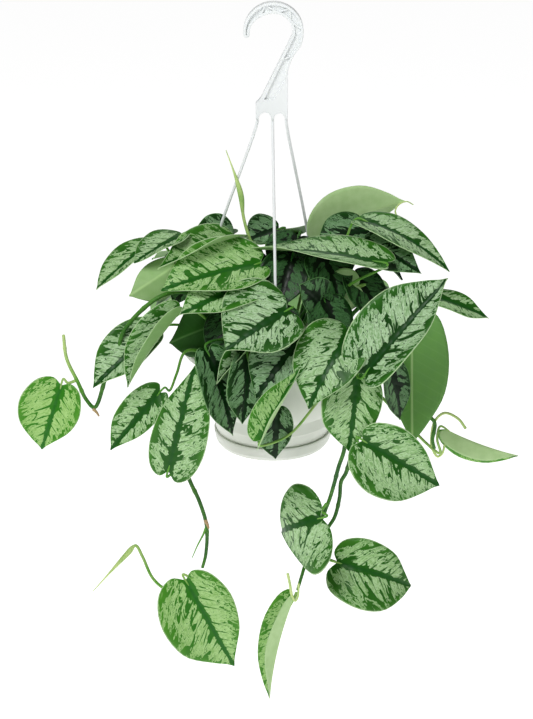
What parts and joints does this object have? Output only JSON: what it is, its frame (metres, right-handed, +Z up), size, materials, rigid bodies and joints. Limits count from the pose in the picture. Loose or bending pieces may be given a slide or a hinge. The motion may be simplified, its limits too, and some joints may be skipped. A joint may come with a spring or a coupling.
{
  "type": "potted pothos plant",
  "caption": "Satin pothos with silver-splashed heart-shaped leaves and trailing stems, in a round stepped plastic hanging pot with a clip-on saucer and a moulded hook.",
  "frame": {"origin": "the point inside the top of the hook's crook where it bears on what holds it, 298 mm above the pot's rim", "axes": "+Z up along the pot's axis and the longest extent, -Y to the pot's front, the hook's flat face in the XZ plane"},
  "size_m": [0.4416, 0.257, 0.6245],
  "materials": {
    "pot_plastic": "moulded polypropylene, off-white, satin",
    "hanger_plastic": "moulded polypropylene, white, satin",
    "potting_mix": "damp peat and bark crumbs",
    "grown_leaf": "velvety green leaf with silver splashes and a dark midrib",
    "young_leaf": "lighter, fresher green leaf with silver splashes and dark veins",
    "stem": "smooth green stem",
    "new_shoot": "smooth yellow-green rolled leaf"
  },
  "bodies": {
    "root": {"pot": "pot_plastic", "saucer": "pot_plastic", "soil": "potting_mix", "hanger_hook": "hanger_plastic", "strand_left": "hanger_plastic", "strand_front": "hanger_plastic", "strand_right": "hanger_plastic", "stem_trail_left": "stem", "stem_trail_lower_left": "stem", "stem_trail_lower_right": "stem", "stem_trail_lowest_right": "stem", "stem_trail_right": "stem", "shoot_spear": "new_shoot", "shoot_trail_left": "new_shoot", "leaf_left_reach": "grown_leaf", "leaf_left_folded": "grown_leaf", "leaf_left_curled": "grown_leaf", "leaf_left_broad_upper": "grown_leaf", "leaf_left_broad_lower": "grown_leaf", "leaf_left_wing": "grown_leaf", "leaf_left_strip": "grown_leaf", "leaf_left_shade": "grown_leaf", "leaf_top_left": "grown_leaf", "leaf_top_middle": "grown_leaf", "leaf_top_right_arching": "grown_leaf", "leaf_top_right_inner": "grown_leaf", "leaf_top_right_upper": "grown_leaf", "leaf_top_right_lower": "grown_leaf", "leaf_crown_front": "grown_leaf", "leaf_front_shade": "grown_leaf", "leaf_front_left_heart": "grown_leaf", "leaf_front_left_dark": "grown_leaf", "leaf_front_curled": "grown_leaf", "leaf_front_teal": "grown_leaf", "leaf_front_middle": "grown_leaf", "leaf_front_folded": "young_leaf", "leaf_front_low": "grown_leaf", "leaf_front_right_wide": "grown_leaf", "leaf_right_upright": "grown_leaf", "leaf_right_thin": "grown_leaf", "leaf_right_turned": "grown_leaf", "leaf_right_shade": "grown_leaf", "leaf_right_hanging": "grown_leaf", "leaf_right_low": "grown_leaf", "leaf_left_oval": "grown_leaf", "leaf_left_upturned": "grown_leaf", "leaf_trail_right_middle": "grown_leaf", "leaf_trail_right_end": "grown_leaf", "leaf_trail_right_lowest": "young_leaf", "leaf_trail_left_end": "young_leaf", "leaf_far_left_end": "young_leaf", "leaf_far_right_folded": "young_leaf", "leaf_back_right": "grown_leaf", "leaf_back_middle_right": "grown_leaf", "leaf_back_middle_left": "grown_leaf", "leaf_back_left": "grown_leaf", "leaf_back_side_right": "grown_leaf", "leaf_back_top": "grown_leaf", "leaf_back_top_left": "grown_leaf", "leaf_back_top_right": "grown_leaf"}
  },
  "joints": []
}
